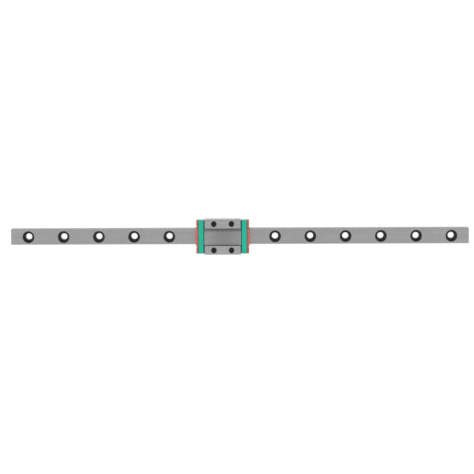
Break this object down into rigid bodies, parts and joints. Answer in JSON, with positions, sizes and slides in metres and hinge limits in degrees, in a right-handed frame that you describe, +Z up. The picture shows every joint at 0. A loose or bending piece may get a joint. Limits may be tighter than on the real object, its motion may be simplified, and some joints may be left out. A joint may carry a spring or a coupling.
{
  "type": "linear guide",
  "caption": "Miniature profile rail with counterbored holes and a short recirculating-ball carriage with moulded end caps, wiper seals and tapped mounting holes.",
  "frame": {"origin": "middle of the rail's base", "axes": "+X along the rail, +Z up through the carriage's mounting face, +Y across the rail"},
  "size_m": [0.26, 0.02, 0.01],
  "materials": {
    "rail_steel": "ground along its length",
    "block_steel": "ground pads, milled recess",
    "cap_plastic": "moulded, satin",
    "seal_rubber": "satin",
    "guide_plastic": "moulded",
    "wire_steel": "drawn wire",
    "screw_steel": "bright",
    "ball_steel": "polished"
  },
  "bodies": {
    "rail": {"rail": "rail_steel"},
    "carriage": {"slider_block": "block_steel", "end_cap_left": "cap_plastic", "end_cap_right": "cap_plastic", "end_seal_left": "seal_rubber", "end_seal_right": "seal_rubber", "return_guide_left_front": "guide_plastic", "return_guide_left_rear": "guide_plastic", "return_guide_right_front": "guide_plastic", "return_guide_right_rear": "guide_plastic", "retainer_wire_front": "wire_steel", "retainer_wire_rear": "wire_steel", "end_screw_left_front": "screw_steel", "end_screw_left_rear": "screw_steel", "end_screw_right_front": "screw_steel", "end_screw_right_rear": "screw_steel", "load_balls_front": "ball_steel", "load_balls_rear": "ball_steel", "return_balls_front": "ball_steel", "return_balls_rear": "ball_steel", "turn_balls_left_front": "ball_steel", "turn_balls_left_rear": "ball_steel", "turn_balls_right_front": "ball_steel", "turn_balls_right_rear": "ball_steel"}
  },
  "joints": [
    {"name": "carriage_slide", "type": "slide", "parent": "rail", "child": "carriage", "axis": [1, 0, 0], "range_m": [-0.1049, 0.1243]}
  ]
}
